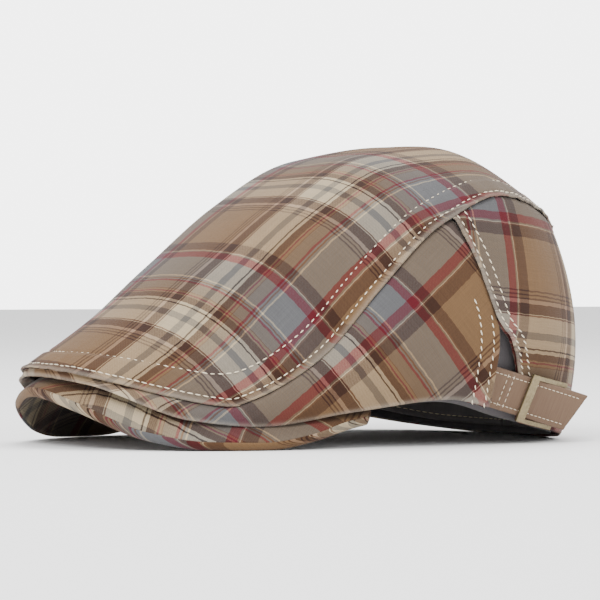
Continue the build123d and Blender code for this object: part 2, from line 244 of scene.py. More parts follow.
# finishes
yarns = {
    "red": (0.074, 0.0035, 0.008), "brown": (0.026, 0.009, 0.004), "dark": (0.011, 0.005, 0.003),
    "rust": (0.056, 0.020, 0.010), "tan": (0.118, 0.066, 0.030), "taupe": (0.086, 0.060, 0.042),
    "cream": (0.330, 0.262, 0.170), "stone": (0.098, 0.086, 0.071), "grey": (0.078, 0.078, 0.081),
    "rose": (0.210, 0.128, 0.080),
}
sett = {  # one repeat of the plaid, yarn and width in millimetres of warp
    "stripes": [("red", 4.2), ("taupe", 0.7), ("cream", 0.6), ("rust", 0.7), ("brown", 5.8), ("tan", 28.0),
                ("brown", 0.8), ("tan", 1.1), ("brown", 0.7), ("tan", 1.2), ("brown", 0.9), ("rose", 1.9),
                ("brown", 5.4), ("cream", 0.5), ("rust", 0.6), ("cream", 7.8), ("stone", 3.6), ("cream", 4.8),
                ("dark", 0.9), ("cream", 1.3), ("brown", 3.8), ("tan", 0.7), ("red", 0.9), ("tan", 1.1),
                ("rust", 0.7), ("taupe", 5.6), ("red", 1.2), ("grey", 1.0), ("rust", 0.8), ("grey", 1.0),
                ("cream", 0.8), ("grey", 15.4)],
    "warpRepeat": 0.1070,
    "weftRepeat": 0.0930,
}


def add(tree, kind, inputs=None, **settings):
    made = tree.nodes.new(kind)
    for key, value in settings.items():
        setattr(made, key, value)
    for key, value in (inputs or {}).items():
        if isinstance(value, bpy.types.NodeSocket):
            tree.links.new(value, made.inputs[key])
        else:
            made.inputs[key].default_value = value
    return made


def sums(tree, operation, a, b=0.0, c=0.0):
    return add(tree, "ShaderNodeMath", {0: a, 1: b, 2: c}, operation=operation).outputs[0]


def mixed(tree, how, factor, a, b):
    made = add(tree, "ShaderNodeMix", {0: factor, 6: a, 7: b}, data_type="RGBA", blend_type=how)
    return made.outputs[2]


def blotches(tree, vector, scale, detail=2.0, roughness=0.5):
    return add(tree, "ShaderNodeTexNoise", {"Vector": vector, "Scale": scale, "Detail": detail,
                                            "Roughness": roughness}).outputs["Fac"]


def between(tree, value, low, high):
    return add(tree, "ShaderNodeMapRange", {"Value": value, "To Min": low, "To Max": high}).outputs[0]


def newFinish(name, **shader):
    finish = bpy.data.materials.new(name)
    finish.use_nodes = True
    tree = finish.node_tree
    bsdf = tree.nodes["Principled BSDF"]
    for key, value in shader.items():
        bsdf.inputs[key.replace("_", " ")].default_value = value
    return finish, tree, bsdf


def setRamp(ramp, stripes):
    total = sum(width for _, width in stripes)
    ramp.interpolation = "CONSTANT"
    while len(ramp.elements) < len(stripes):
        ramp.elements.new(1.0)
    at = 0.0
    for element, (yarn, width) in zip(ramp.elements, stripes):
        element.position = at / total
        element.color = (*yarns[yarn], 1)
        at += width


def plaidFinish(name, shade=1.0):
    finish, tree, bsdf = newFinish(name, Sheen_Weight=0.08, Sheen_Roughness=0.45, Specular_IOR_Level=0.18)
    uv = add(tree, "ShaderNodeUVMap", uv_map="cloth").outputs[0]
    wander = sums(tree, "MULTIPLY", sums(tree, "SUBTRACT", blotches(tree, uv, 260.0, 3.0), 0.5), 0.0011)
    split = add(tree, "ShaderNodeSeparateXYZ", {0: uv}).outputs
    warpAt, weftAt = sums(tree, "ADD", split[0], wander), sums(tree, "SUBTRACT", split[1], wander)
    colours = []
    for at, repeat in ((warpAt, sett["warpRepeat"]), (weftAt, sett["weftRepeat"])):
        ramp = add(tree, "ShaderNodeValToRGB", {0: sums(tree, "FRACT", sums(tree, "DIVIDE", at, repeat))})
        setRamp(ramp.color_ramp, sett["stripes"])
        colours.append(ramp.outputs[0])
    # single yarns, a little lighter or darker than their neighbours
    stretchedAlong = add(tree, "ShaderNodeMapping", {"Vector": uv, "Scale": (2300, 55, 1)}).outputs[0]
    stretchedAcross = add(tree, "ShaderNodeMapping", {"Vector": uv, "Scale": (55, 2300, 1)}).outputs[0]
    warpYarn, weftYarn = blotches(tree, stretchedAlong, 1.0), blotches(tree, stretchedAcross, 1.0)
    warp = mixed(tree, "MULTIPLY", 1.0, colours[0], between(tree, warpYarn, 0.66, 1.34))
    weft = mixed(tree, "MULTIPLY", 1.0, colours[1], between(tree, weftYarn, 0.66, 1.34))
    bias = sums(tree, "ADD", split[0], split[1])
    diagonal = sums(tree, "SINE", sums(tree, "MULTIPLY", bias, 2 * pi / 0.0010))
    fuzz = blotches(tree, uv, 1500.0, 2.0, 0.6)
    over = sums(tree, "ADD", sums(tree, "MULTIPLY", diagonal, 0.16), between(tree, fuzz, 0.12, 0.88))
    over = add(tree, "ShaderNodeClamp", {0: over}).outputs[0]
    cloth = mixed(tree, "MIX", over, warp, weft)
    crossed = mixed(tree, "MULTIPLY", 1.0, warp, weft)
    both = add(tree, "ShaderNodeGamma", {"Color": crossed, "Gamma": 0.5}).outputs[0]
    cloth = mixed(tree, "MIX", 0.6, cloth, both)  # crossed yarns read darker than their plain mix
    # random fading blotches, scaled by shade: a shade under 1 paints the whole cloth darker as painted shade
    fadingAndPaintedShade = between(tree, blotches(tree, uv, 24.0, 3.0), 0.90 * shade, 1.10 * shade)
    cloth = mixed(tree, "MULTIPLY", 1.0, cloth, fadingAndPaintedShade)
    worn = add(tree, "ShaderNodeAttribute", attribute_name="worn").outputs["Fac"]
    cloth = mixed(tree, "MIX", sums(tree, "MULTIPLY", worn, between(tree, fuzz, 0.0, 0.45)), cloth,
                  (0.42, 0.37, 0.30, 1))
    tree.links.new(cloth, bsdf.inputs["Base Color"])
    tree.links.new(between(tree, fuzz, 0.72, 0.95), bsdf.inputs["Roughness"])
    height = sums(tree, "ADD", sums(tree, "MULTIPLY", diagonal, 0.25), sums(tree, "ADD", warpYarn, weftYarn))
    height = sums(tree, "ADD", height, sums(tree, "MULTIPLY", fuzz, 0.8))
    bump = add(tree, "ShaderNodeBump", {"Strength": 0.55, "Distance": 0.00022, "Height": height})
    tree.links.new(bump.outputs[0], bsdf.inputs["Normal"])
    return finish


def plainFinish(name, colour, other, pitch=0.0007, bumpiness=0.4, **shader):  # plain woven cloth
    finish, tree, bsdf = newFinish(name, **shader)
    uv = add(tree, "ShaderNodeUVMap", uv_map="cloth").outputs[0]
    split = add(tree, "ShaderNodeSeparateXYZ", {0: uv}).outputs
    a = sums(tree, "SINE", sums(tree, "MULTIPLY", split[0], 2 * pi / pitch))
    b = sums(tree, "SINE", sums(tree, "MULTIPLY", split[1], 2 * pi / pitch))
    weave = sums(tree, "MULTIPLY", a, b)
    long = add(tree, "ShaderNodeMapping", {"Vector": uv, "Scale": (1900, 70, 1)}).outputs[0]
    slub = blotches(tree, long, 1.0)
    patch = blotches(tree, uv, 40.0, 3.0)
    share = sums(tree, "ADD", sums(tree, "MULTIPLY", weave, 0.15), sums(tree, "MULTIPLY", slub, 0.7))
    share = sums(tree, "ADD", share, sums(tree, "MULTIPLY", sums(tree, "SUBTRACT", patch, 0.5), 0.5))
    share = add(tree, "ShaderNodeClamp", {0: share}).outputs[0]
    tree.links.new(mixed(tree, "MIX", share, (*colour, 1), (*other, 1)), bsdf.inputs["Base Color"])
    tree.links.new(between(tree, slub, 0.70, 0.92), bsdf.inputs["Roughness"])
    height = sums(tree, "ADD", weave, slub)
    bump = add(tree, "ShaderNodeBump", {"Strength": bumpiness, "Distance": 0.0002, "Height": height})
    tree.links.new(bump.outputs[0], bsdf.inputs["Normal"])
    return finish


def threadFinish(name, colour, other):
    finish, tree, bsdf = newFinish(name, Sheen_Weight=0.3, Specular_IOR_Level=0.3)
    at = add(tree, "ShaderNodeTexCoord").outputs["Object"]
    tint = blotches(tree, at, 420.0, 2.0)
    twist = add(tree, "ShaderNodeTexWave", {"Vector": at, "Scale": 900.0, "Distortion": 2.0}).outputs["Fac"]
    tree.links.new(mixed(tree, "MIX", tint, (*colour, 1), (*other, 1)), bsdf.inputs["Base Color"])
    tree.links.new(between(tree, tint, 0.5, 0.75), bsdf.inputs["Roughness"])
    bump = add(tree, "ShaderNodeBump", {"Strength": 0.4, "Distance": 0.0001, "Height": twist})
    tree.links.new(bump.outputs[0], bsdf.inputs["Normal"])
    return finish


def brassFinish():
    finish, tree, bsdf = newFinish("antique brass", Metallic=0.85, Specular_IOR_Level=0.5)
    at = add(tree, "ShaderNodeTexCoord").outputs["Object"]
    patina, scratch = blotches(tree, at, 160.0, 5.0, 0.65), blotches(tree, at, 900.0, 3.0)
    colour = mixed(tree, "MIX", patina, (0.20, 0.15, 0.07, 1), (0.05, 0.04, 0.022, 1))
    colour = mixed(tree, "MIX", between(tree, scratch, 0.0, 0.5), colour, (0.50, 0.42, 0.27, 1))
    tree.links.new(colour, bsdf.inputs["Base Color"])
    tree.links.new(between(tree, patina, 0.28, 0.50), bsdf.inputs["Roughness"])
    bump = add(tree, "ShaderNodeBump", {"Strength": 0.25, "Distance": 0.0001, "Height": scratch})
    tree.links.new(bump.outputs[0], bsdf.inputs["Normal"])
    return finish


finishes = {
    "plaid": plaidFinish("plaid cloth"),
    # the same plaid at half brightness: painted shade for the shadow under the visor
    "paintedShadePlaid": plaidFinish("plaid under cloth, painted shade", 0.5),
    "strap": plainFinish("tan strap cloth", (0.150, 0.090, 0.052), (0.085, 0.045, 0.027), Sheen_Weight=0.05),
    "lining": plainFinish("grey lining", (0.085, 0.075, 0.078), (0.05, 0.044, 0.046), Sheen_Weight=0.15),
    "interlining": plainFinish("stiff interlining", (0.62, 0.60, 0.56), (0.5, 0.48, 0.45), 0.0013),
    "sweatband": plainFinish("sweatband cloth", (0.175, 0.158, 0.155), (0.11, 0.098, 0.096), 0.0006),
    "label": plainFinish("woven label", (0.72, 0.68, 0.60), (0.58, 0.54, 0.47), 0.0004),
    "board": plainFinish("visor board", (0.045, 0.045, 0.047), (0.03, 0.03, 0.031), 0.002),
    "tape": plainFinish("loop tape", (0.150, 0.095, 0.055), (0.09, 0.05, 0.03)),
    "thread": threadFinish("cream thread", (0.74, 0.66, 0.50), (0.58, 0.48, 0.34)),
    "brass": brassFinish(),
}
print("finishes ready")


# one sewn layer of cloth: outer face, inner face and a rounded fold round its border
def clothPiece(name, surface, us, vs, depth, thickness, finish, cloth=None, relief=None, out=clothOut,
               fold=0.5, worn=None):
    U, V = np.meshgrid(us, vs, indexing="ij")
    base = surface(U, V)
    outs = out(base)
    lift = (relief(base) if relief else np.zeros(U.shape))[..., None]
    outer = base + outs * (lift - depth)
    inner = outer - outs * thickness
    nu, nv = U.shape
    if cloth is None:
        across, along = arcs(base)
        uv = np.stack([across, along], -1) / 1000
    else:
        uv = cloth(U, V, base)
    wear = worn(base) if worn else np.zeros(U.shape)
    index = np.arange(nu * nv).reshape(nu, nv)
    loop = np.concatenate([index[:, 0], index[-1, 1:], index[-2::-1, -1], index[0, -2:0:-1]])
    pull = np.zeros_like(base)  # away from the piece, along its own surface
    pull[0] += unit(outer[0] - outer[1])
    pull[-1] += unit(outer[-1] - outer[-2])
    pull[:, 0] += unit(outer[:, 0] - outer[:, 1])
    pull[:, -1] += unit(outer[:, -1] - outer[:, -2])
    middle = (outer + inner) / 2 + unit(pull) * fold
    ring = middle.reshape(-1, 3)[loop]
    points = toFrame(np.concatenate([outer.reshape(-1, 3), inner.reshape(-1, 3), ring]))
    a, b = index[:-1, :-1].ravel(), index[1:, :-1].ravel()
    c, d = index[1:, 1:].ravel(), index[:-1, 1:].ravel()
    quads = np.stack([a, b, c, d], 1)
    count = nu * nv
    ringIndex = 2 * count + np.arange(len(loop))
    nextRing, nextLoop = np.roll(ringIndex, -1), np.roll(loop, -1)
    faces = np.concatenate([quads, quads[:, ::-1] + count,
                            np.stack([nextLoop, loop, ringIndex, nextRing], 1),
                            np.stack([nextRing, ringIndex, loop + count, nextLoop + count], 1)])
    middleOf = points[quads[len(quads) // 2]]
    facing = np.cross(middleOf[1] - middleOf[0], middleOf[2] - middleOf[0]) @ outs[nu // 2, nv // 2]
    if facing < 0:
        faces = faces[:, ::-1]
    uvAll = np.concatenate([uv.reshape(-1, 2)] * 2 + [uv.reshape(-1, 2)[loop]])
    wearAll = np.concatenate([wear.ravel()] * 2 + [wear.ravel()[loop]])
    piece = meshPiece(name, points, faces, uvAll, finish, wearAll)
    across, along = arcs(base)
    cell = np.linalg.norm(np.cross(base[1:, :-1] - base[:-1, :-1], base[:-1, 1:] - base[:-1, :-1]), axis=-1)
    piece["flat"] = [float(across[-1].max()) / 1000, float(along[:, -1].max()) / 1000]
    piece["cut"] = float(cell.sum()) / 1e6
    return piece


def meshPiece(name, points, faces, uv, finish, wear=None):
    mesh = bpy.data.meshes.new(name)
    mesh.from_pydata([tuple(p) for p in points], [], [tuple(int(i) for i in f) for f in faces])
    layer = mesh.uv_layers.new(name="cloth")
    corner = np.empty(len(mesh.loops), np.int32)
    mesh.loops.foreach_get("vertex_index", corner)
    layer.data.foreach_set("uv", np.asarray(uv, np.float32)[corner].ravel())
    if wear is not None:
        mesh.attributes.new("worn", "FLOAT", "POINT").data.foreach_set("value", np.asarray(wear, np.float32))
    mesh.polygons.foreach_set("use_smooth", np.ones(len(mesh.polygons), bool))
    mesh.materials.append(finish)
    mesh.update()
    piece = bpy.data.objects.new(name, mesh)
    bpy.context.scene.collection.objects.link(piece)
    return piece


def settle(piece, body, slot, *nodes, sheet=True, rests=()):
    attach(piece, body)
    if nodes:
        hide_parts(*nodes)


# stitches: a tree that lays one small thread grain on each step of a path
def stitchTree():
    tree = bpy.data.node_groups.new("stitches", "GeometryNodeTree")
    face = tree.interface
    face.new_socket("Path", in_out="INPUT", socket_type="NodeSocketGeometry")
    for label, value in (("Stitch Step", 0.0035), ("Stitch Length", 0.0029), ("Thread Radius", 0.0003),
                         ("Uneven Turn", 0.06)):
        face.new_socket(label, in_out="INPUT", socket_type="NodeSocketFloat").default_value = value
    face.new_socket("Seed", in_out="INPUT", socket_type="NodeSocketInt").default_value = 3
    face.new_socket("Thread", in_out="INPUT", socket_type="NodeSocketMaterial")
    face.new_socket("Stitches", in_out="OUTPUT", socket_type="NodeSocketGeometry")
    given = tree.nodes.new("NodeGroupInput").outputs
    curve = add(tree, "GeometryNodeMeshToCurve", {"Mesh": given["Path"]}).outputs[0]
    steps = add(tree, "GeometryNodeResampleCurve", {"Curve": curve, "Length": given["Stitch Step"]},
                mode="LENGTH")
    out = add(tree, "GeometryNodeInputNamedAttribute", {"Name": "outwards"}, data_type="FLOAT_VECTOR")
    tangent = tree.nodes.new("GeometryNodeInputTangent")
    turn = add(tree, "FunctionNodeAxesToRotation", {0: out.outputs[0], 1: tangent.outputs[0]},
               primary_axis="Z", secondary_axis="X")
    wobble = add(tree, "FunctionNodeRandomValue", {"Seed": given["Seed"]}, data_type="FLOAT")
    wobble.inputs[2].default_value, wobble.inputs[3].default_value = -1.0, 1.0
    angle = add(tree, "ShaderNodeMath", {0: wobble.outputs[1], 1: given["Uneven Turn"]}, operation="MULTIPLY")
    euler = add(tree, "ShaderNodeCombineXYZ", {2: angle.outputs[0]})
    spin = add(tree, "FunctionNodeRotateRotation", {0: turn.outputs[0], 1: euler.outputs[0]},
               rotation_space="LOCAL")
    grain = add(tree, "GeometryNodeMeshUVSphere", {"Segments": 6, "Rings": 5, "Radius": 1.0})
    half = add(tree, "ShaderNodeMath", {0: given["Stitch Length"], 1: 0.5}, operation="MULTIPLY").outputs[0]
    size = add(tree, "ShaderNodeCombineXYZ", {0: half, 1: given["Thread Radius"], 2: given["Thread Radius"]})
    grains = {"Points": steps.outputs[0], "Instance": grain.outputs[0], "Rotation": spin.outputs[0],
              "Scale": size.outputs[0]}
    laid = add(tree, "GeometryNodeInstanceOnPoints", grains)
    real = add(tree, "GeometryNodeRealizeInstances", {0: laid.outputs[0]})
    soft = add(tree, "GeometryNodeSetShadeSmooth", {0: real.outputs[0]})
    ends = add(tree, "GeometryNodeSetMaterial", {"Geometry": soft.outputs[0], "Material": given["Thread"]})
    add(tree, "NodeGroupOutput", {0: ends.outputs[0]})
    return tree


stitchMaker = stitchTree()


def stitches(name, rows, body, look):
    points, outs, edges = [], [], []
    for path, normal, closed in rows:
        first = len(points)
        points += [tuple(p) for p in toFrame(path)]
        outs += [tuple(n) for n in normal]
        edges += [(first + i, first + i + 1) for i in range(len(path) - 1)]
        if closed:
            edges.append((first + len(path) - 1, first))
    mesh = bpy.data.meshes.new(name + "Path")
    mesh.from_pydata(points, edges, [])
    outwards = mesh.attributes.new("outwards", "FLOAT_VECTOR", "POINT")
    outwards.data.foreach_set("vector", np.array(outs, np.float32).ravel())
    path = bpy.data.objects.new(name + "Path", mesh)
    bpy.context.scene.collection.objects.link(path)
    modifier = path.modifiers.new("stitches", "NODES")
    modifier.node_group = stitchMaker
    values = {"Stitch Step": look["step"] / 1000, "Stitch Length": look["length"] / 1000,
              "Thread Radius": look["radius"] / 1000, "Uneven Turn": look["turn"], "Seed": look["seed"],
              "Thread": look["thread"]}
    for item in stitchMaker.interface.items_tree:
        if item.in_out == "INPUT" and item.name in values:
            modifier[item.identifier] = values[item.name]
    bpy.context.view_layer.update()
    graph = bpy.context.evaluated_depsgraph_get()
    made = bpy.data.meshes.new_from_object(path.evaluated_get(graph))
    made.name = name
    bpy.data.objects.remove(path)
    piece = bpy.data.objects.new(name, made)
    bpy.context.scene.collection.objects.link(piece)
    print("  stitches", name, len(made.polygons), "faces")
    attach(piece, body)
    return piece


thread = {"step": 3.5, "length": 3.1, "radius": 0.32, "turn": 0.06, "seed": 3, "thread": finishes["thread"]}

# crown top panel
crownLook = {
    "clothAcross": 0.0880, "clothAlong": 0.0880, "straightAt": 0.31,
    "edge": {"allowance": 0.55, "width": 13.0, "lip": 0.45, "rows": [3.2, 14.0], "groove": 0.38,
             "pucker": 0.75, "puckerSize": 3.2},
    "wrinkle": 0.9, "wrinkleSize": 38.0,
}
outlineLoop = np.concatenate([crownPoint(np.linspace(0, 1, 200), 0),
                              crownPoint(1, np.linspace(0, 1, 460))[1:],
                              crownPoint(np.linspace(1, -1, 260), 1)[1:],
                              crownPoint(-1, np.linspace(1, 0, 460))[1:],
                              crownPoint(np.linspace(-1, 0, 200), 0)[1:]])
crownEdge = edgeTree(outlineLoop)


def crownRelief(points):
    lift = sewnEdge(points, crownEdge, crownLook["edge"], 1.7)
    away = smooth(fromEdge(points, crownEdge)[0], 4, 40)
    uneven = unevenness(points, crownLook["wrinkleSize"], 5.1)
    return lift + crownLook["wrinkle"] * uneven * (0.25 + 0.75 * away)


def crownCloth(U, V, base):
    across, along = arcs(base)
    middle = U.shape[0] // 2
    straight = np.array([np.interp(crownLook["straightAt"], V[0], along[i]) for i in range(len(along))])
    u = across - across[middle] - 1000 * crownLook["clothAcross"]
    v = along - straight[:, None] + straight[middle] - 1000 * crownLook["clothAlong"]
    return np.stack([u, v], -1) / 1000


def edgeWear(edge, reach=1.2):
    return lambda points: np.exp(-((fromEdge(points, edge)[0] / reach) ** 2))


acrossStations = spread(lambda t: crownPoint(t, 0.45 + 0 * t), 2.2, 1.0, 17, -1, 1)
alongStations = spread(lambda t: crownPoint(0 * t, t), 2.2, 1.0, 17)
crownTop = clothPiece("crownTop", crownPoint, acrossStations, alongStations, 0, shell["thickness"],
                      finishes["plaid"], crownCloth, crownRelief, fold=0.9, worn=edgeWear(crownEdge))
settle(crownTop, "cap", "plaid_shell", "crown_top_panel")


def insetRow(distance, rounding):  # a line at one distance from the crown's edge, its corners rounded
    n = len(outlineLoop)
    a = np.concatenate([np.linspace(0, 1, 200), np.ones(459), np.linspace(1, -1, 260)[1:], -np.ones(459),
                        np.linspace(-1, 0, 200)[1:]])
    b = np.concatenate([np.zeros(200), np.linspace(0, 1, 460)[1:], np.ones(259), np.linspace(1, 0, 460)[1:],
                        np.zeros(199)])
    t = np.linspace(0.45, 1, 70)[:, None]
    pick = slice(0, n - 1, 2)
    ua, vb = a[pick] * t, 0.5 + (b[pick] - 0.5) * t
    away = fromEdge(crownPoint(ua, vb), crownEdge)[0]
    at = np.array([np.interp(-distance, -away[:, k], t[:, 0]) for k in range(away.shape[1])])
    points = crownPoint(a[pick] * at, 0.5 + (b[pick] - 0.5) * at)
    if rounding:
        kernel = np.hanning(rounding)
        kernel /= kernel.sum()
        wrapped = np.concatenate([points[-rounding:], points, points[:rounding]])
        rounded = [np.convolve(wrapped[:, k], kernel, "same") for k in range(3)]
        points = np.stack(rounded, -1)[rounding:-rounding]
    return points


def onCloth(points, relief, raised=0.12, out=clothOut):
    outs = out(points)
    return points + outs * (relief(points) + raised)[:, None], outs


def rowOf(points, relief, closed=False, raised=0.12, out=clothOut):
    path, outs = onCloth(points, relief, raised, out)
    return path, outs, closed


crownRows = [rowOf(insetRow(3.2, 0), crownRelief, True), rowOf(insetRow(14.0, 41), crownRelief, True)]
stitches("crownStitches", crownRows, "cap", thread)
print("crown ready")

# side panels and back panel


def edgeLook(allowance, width, lip, rows, groove, pucker, puckerSize):
    return {"allowance": allowance, "width": width, "lip": lip, "rows": rows, "groove": groove,
            "pucker": pucker, "puckerSize": puckerSize}


wallLook = {
    "topEdge": edgeLook(0.0, 4.0, -0.9, [], 0, 0.5, 3.2),
    "hem": edgeLook(0.25, 11.0, 0.1, [], 0, 0.35, 6.0),
    "rearFold": edgeLook(0.35, 11.0, 0.15, [3.0, 9.5], 0.35, 0.5, 4.0),
    "overlap": edgeLook(0.55, 7.0, 0.45, [1.6, 6.2], 0.35, 0.55, 3.5),
    "under": edgeLook(0.0, 4.0, -0.8, [], 0, 0.2, 5.0),
    "wrinkle": 1.0, "wrinkleSize": 34.0,
}
seamShare = 0.2 / 390
notchRise = 0.46


def endAt(name, v):
    return ease(v, sides["rise"], sides[name])


def leftSurface(u, v):
    return sidePoint(u * (endAt("leftEnd", v) - seamShare), v)


def rightSurface(u, v):
    return sidePoint(u * (endAt("rightEnd", v) - seamShare), v)


def backSurface(u, v):
    start, end = endAt("backStart", v), 2 - endAt("rightEnd", v)
    return backWall(start + (end - start) * u, v)


wallSteps = np.linspace(0, 2, 801)
wallMiddle = sidePoint(wallSteps, 0.5)
wallLength = np.concatenate([[0], np.cumsum(np.linalg.norm(np.diff(wallMiddle[:, :2], axis=0), axis=1))])
wallTangent = np.gradient(wallMiddle, axis=0)
wallTangent[:, 2] = 0
wallTangent = unit(wallTangent)


def wallCloth(turn, warpStart, weftStart, flip, aroundOf):
    # the cut is turned on the plaid, in degrees
    def cloth(U, V, base):
        around = aroundOf(U, V)
        middle = np.stack([np.interp(around, wallSteps, wallMiddle[:, k]) for k in range(3)], -1)
        tangent = np.stack([np.interp(around, wallSteps, wallTangent[:, k]) for k in range(3)], -1)
        away = base - middle
        level = (away * tangent).sum(-1)
        upright = np.sqrt(np.maximum((away**2).sum(-1) - level**2, 0)) * np.sign(V - 0.5)
        x, y = np.interp(around, wallSteps, wallLength) + level, middle[..., 2] + upright
        c, s = cos(radians(turn)), sin(radians(turn))
        return np.stack([c * x + s * y - warpStart, (-s * x + c * y) * flip - weftStart], -1) / 1000
    return cloth


def edgesOf(surface):
    s = np.linspace(0, 1, 500)
    return {"top": edgeTree(surface(s, 1.0)), "hem": edgeTree(surface(s, 0.0)),
            "front": edgeTree(surface(0.0, s)), "rear": edgeTree(surface(1.0, s)),
            "rearLow": edgeTree(surface(1.0, s * notchRise)),
            "rearHigh": edgeTree(surface(1.0, notchRise + s * (1 - notchRise)))}


leftEdges, rightEdges, backEdges = edgesOf(leftSurface), edgesOf(mirrored(rightSurface)), edgesOf(backSurface)


def wrinkles(points, seed):
    return wallLook["wrinkle"] * unevenness(points * np.array([1, 1, 0.6]), wallLook["wrinkleSize"], seed)


def leftRelief(points):
    front = smooth(points[..., 1], -110, -60)
    lift = sewnEdge(points, leftEdges["top"], wallLook["topEdge"], 1.7)
    lift += sewnEdge(points, leftEdges["hem"], wallLook["hem"], 2.9)
    lift += sewnEdge(points, leftEdges["rearLow"], wallLook["rearFold"], 4.2)
    lift += sewnEdge(points, leftEdges["rearHigh"], wallLook["under"], 3.3)
    return lift + wrinkles(points, 2.3) * front


def rightRelief(points):
    front = smooth(points[..., 1], -110, -60)
    lift = sewnEdge(points, rightEdges["top"], wallLook["topEdge"], 1.7)
    lift += sewnEdge(points, rightEdges["hem"], wallLook["hem"], 2.9)
    lift += sewnEdge(points, rightEdges["rear"], wallLook["under"], 4.2)
    return lift + wrinkles(points, 7.3) * front


def backRelief(points):
    lift = sewnEdge(points, backEdges["top"], wallLook["topEdge"], 1.7)
    lift += sewnEdge(points, backEdges["hem"], wallLook["hem"], 2.9)
    lift += sewnEdge(points, backEdges["front"], wallLook["overlap"], 6.1)
    lift += sewnEdge(points, backEdges["rear"], wallLook["overlap"], 8.1)
    return lift + wrinkles(points, 4.4)


upStations = spread(lambda t: sidePoint(0.6 + 0 * t, t), 2.0, 1.0, 12)


def leftAround(u, v):
    return u * (endAt("leftEnd", v) - seamShare)


def rightAround(u, v):
    return u * (endAt("rightEnd", v) - seamShare)


def backAround(u, v):
    start = endAt("backStart", v)
    return start + (2 - endAt("rightEnd", v) - start) * u


lengthways = np.linspace(0, 1, 230)
backStations = spread(lambda t: backSurface(t, 0.4 + 0 * t), 2.0, 1.0, 10)
plaid = finishes["plaid"]
sideLeft = clothPiece("sideLeft", leftSurface, lengthways, upStations, 0, shell["thickness"], plaid,
                      wallCloth(-50, 66, 86.1, 1, leftAround), leftRelief, worn=edgeWear(leftEdges["hem"]))
sideRight = clothPiece("sideRight", mirrored(rightSurface), lengthways, upStations, 0, shell["thickness"],
                       plaid, wallCloth(-50, 20, 40, 1, rightAround), rightRelief,
                       worn=edgeWear(rightEdges["hem"]))
backPanel = clothPiece("backPanel", backSurface, backStations, upStations, 0, shell["thickness"], plaid,
                       wallCloth(-5, 11.8, 60, -1, backAround), backRelief, fold=1.4,
                       worn=edgeWear(backEdges["front"]))
settle(sideLeft, "cap", "plaid_shell", "side_panel_left")
settle(sideRight, "cap", "plaid_shell", "side_panel_right")
settle(backPanel, "cap", "plaid_shell", "back_panel")


def sideRow(surface, relief, distance, low, high, rear, count=160):
    # a row beside one end of a panel
    v = np.linspace(low, high, count)
    edge, beside = (1.0, 0.99) if rear else (0.0, 0.01)
    step = np.linalg.norm(surface(edge, v) - surface(beside, v), axis=-1)
    share = 0.01 * distance / step
    u = 1 - share if rear else share
    return rowOf(surface(u, v), relief)


wallRows = [sideRow(leftSurface, leftRelief, 3.0, 0.0, 0.47, True),
            sideRow(leftSurface, leftRelief, 9.5, 0.0, 0.56, True),
            sideRow(backSurface, backRelief, 1.6, 0.02, 0.985, False),
            sideRow(backSurface, backRelief, 6.2, 0.06, 0.985, False),
            sideRow(backSurface, backRelief, 1.6, 0.0, 0.985, True),
            sideRow(backSurface, backRelief, 6.2, 0.0, 0.985, True)]
stitches("wallStitches", wallRows, "cap", thread)
print("walls ready")

# facings folded inside the notch
facingDepth = shell["thickness"] + 2 * shell["gap"]


def facingFront(u, v):
    up = v * notchRise
    return sidePoint(endAt("leftEnd", up) - seamShare - 0.037 * (1 - u), up)


def facingRear(u, v):
    up = v * notchRise
    return backWall(endAt("backStart", up) + seamShare + 0.037 * u, up)


for name, surface, node in (("facingFront", facingFront, "notch_facing_front"),
                            ("facingRear", facingRear, "notch_facing_rear")):
    piece = clothPiece(name, surface, np.linspace(0, 1, 14), np.linspace(0, 1, 60), facingDepth,
                       shell["facing"], finishes["plaid"], fold=0.2)
    settle(piece, "cap", "plaid_facing", node)

# interlining and lining
liningDepth = shell["thickness"] + shell["gap"] + shell["interlining"] + 2 * shell["gap"]
liningLook = {"wrinkle": 0.35, "wrinkleSize": 16.0, "front": 0.42, "seam": 0.72}


def liningRelief(points):
    return -np.abs(liningLook["wrinkle"] * unevenness(points, liningLook["wrinkleSize"], 3.7)) * 1.6


def liningSide(around, up):
    near = np.where(around < 1, around, 2 - around)
    room = ease(near, [0.34, 0.44, 0.52, 0.62, 0.72, 0.84, 1.0], [0.0, 1.5, 6.0, 7.0, 6.5, 3.0, 2.2], True)
    room = room * ease(up, [0, 0.22, 0.45, 0.75, 1.0], [1.0, 1.0, 0.6, 0.1, 0.0], True)
    point = sidePoint(around, up)
    return point - clothOut(point) * (liningDepth + room)[..., None]


def liningLeft(u, v):
    return liningSide(liningLook["front"] + (liningLook["seam"] - seamShare - liningLook["front"]) * u, v)


def liningBack(u, v):
    return liningSide(liningLook["seam"] + (2 - 2 * liningLook["seam"]) * u, v)


def liningTop(u, v):
    point = crownPoint(2 * u - 1, 0.3 + 0.7 * v)
    return point - clothOut(point) * liningDepth


def interliningTop(u, v):
    return crownPoint(1.8 * u - 0.9, 0.06 + 0.72 * v)


def innerPiece(name, surface, nu, nv, depth, thick, finish, relief, slot, node):
    piece = clothPiece(name, surface, np.linspace(0, 1, nu), np.linspace(0, 1, nv), depth, thick,
                       finishes[finish], relief=relief, fold=0.2)
    settle(piece, "cap", slot, node)


for name, surface, nu, nv, node in (("liningTop", liningTop, 90, 90, "lining_top"),
                                    ("liningLeft", liningLeft, 60, 44, "lining_side_left"),
                                    ("liningRight", mirrored(liningLeft), 60, 44, "lining_side_right"),
                                    ("liningBack", liningBack, 110, 44, "lining_back")):
    innerPiece(name, surface, nu, nv, 0, shell["lining"], "lining", liningRelief, "lining_cloth", node)
innerPiece("interlining", interliningTop, 70, 90, shell["thickness"] + shell["gap"],
           shell["interlining"], "interlining", None, "interlining", "crown_interlining")
print("lining ready")

